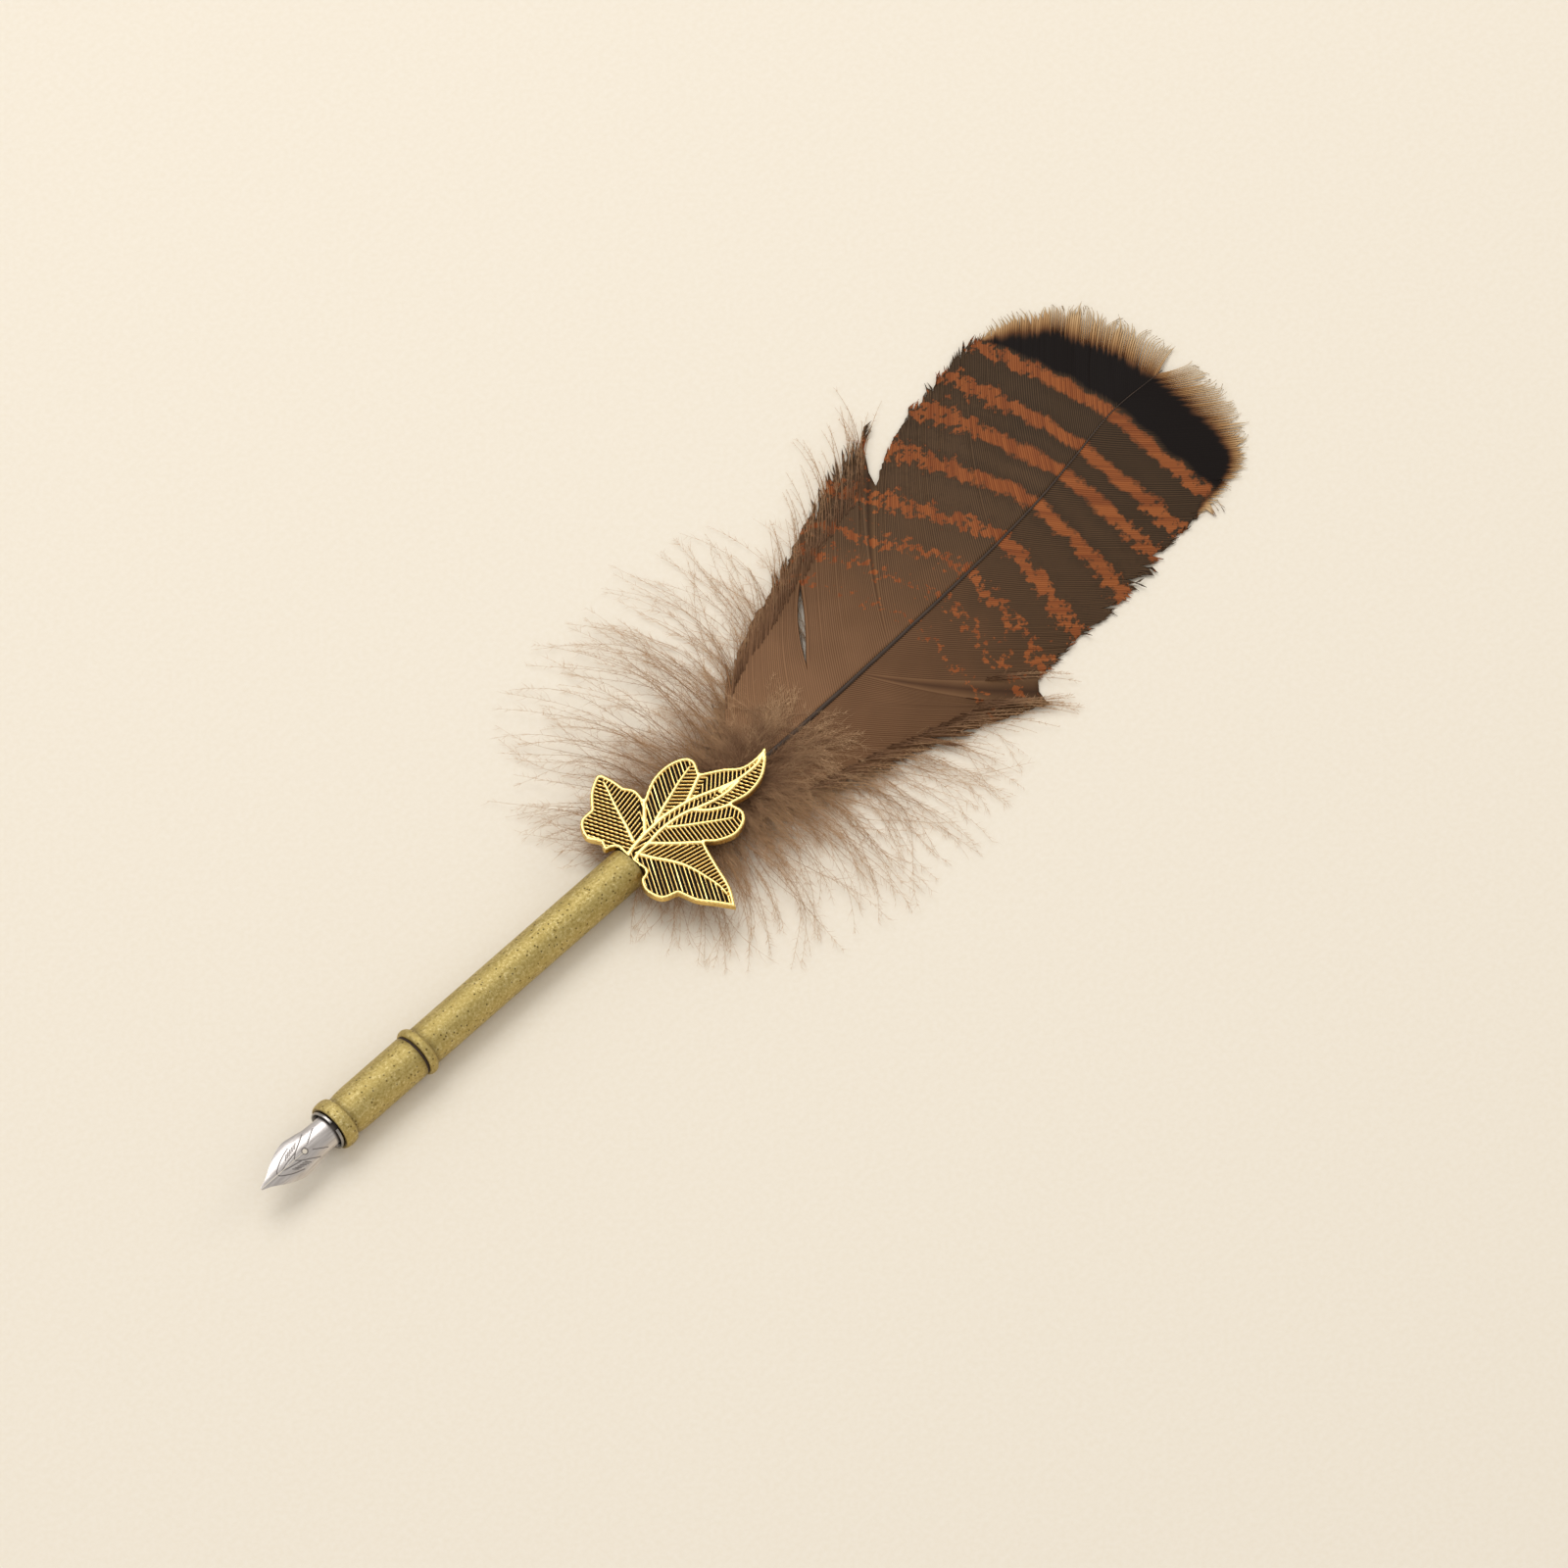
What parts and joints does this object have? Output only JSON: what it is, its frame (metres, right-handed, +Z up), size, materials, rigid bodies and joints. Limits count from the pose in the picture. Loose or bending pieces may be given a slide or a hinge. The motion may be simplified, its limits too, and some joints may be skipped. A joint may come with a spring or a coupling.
{
  "type": "feather dip pen",
  "caption": "Dip pen with a steel nib, a slim antique brass screw-apart holder, a cast leaf ornament and a barred brown tail feather.",
  "frame": {"origin": "centre of the pen's footprint on the surface it lies on", "axes": "+X along the pen from the nib to the feather's tip, +Y to the feather's left vane, +Z up out of the leaf's face"},
  "size_m": [0.244, 0.076, 0.0097],
  "materials": {
    "nib_steel": "polished",
    "spring_steel": "satin",
    "antique_brass": "antiqued, finely speckled",
    "plain_brass": "turned",
    "leaf_gold": "cast relief with black patina in the hollows",
    "dark_fibre": "matte",
    "clear_glue": "set resin",
    "feather_shaft": "horn-like keratin",
    "feather_vane": "barbed, brown with rufous bars",
    "feather_down": "downy, grey-brown"
  },
  "bodies": {
    "stem": {"stem_tube": "antique_brass", "rear_ring": "antique_brass", "thread_bush": "plain_brass", "glue_plug": "clear_glue", "leaf_ornament": "leaf_gold", "calamus": "feather_shaft", "rachis": "feather_shaft", "vane_left": "feather_vane", "vane_right": "feather_vane", "down_left": "feather_down", "down_right": "feather_down", "afterfeather": "feather_down"},
    "washer": {"seam_washer": "dark_fibre"},
    "grip": {"grip_barrel": "antique_brass", "front_ring": "antique_brass", "split_sleeve": "nib_steel", "spring_clip": "spring_steel", "thread_stud": "plain_brass"},
    "nib": {"nib": "nib_steel"}
  },
  "joints": [
    {"name": "grip_travel", "type": "slide", "parent": "stem", "child": "washer", "axis": [-1, 0, 0], "range_m": [0, 0.005]},
    {"name": "grip_turn", "type": "hinge", "parent": "washer", "child": "grip", "pos_m": [-0.09, -0.002, 0.00485], "axis": [-1, 0, 0], "range_deg": [0, 1800.1]},
    {"name": "nib_pull", "type": "slide", "parent": "grip", "child": "nib", "axis": [-1, 0, 0], "range_m": [0, 0.02]}
  ],
  "couplings": [
    {"joint": "grip_turn", "follows": "grip_travel", "rad_per_m": 6283.2}
  ]
}
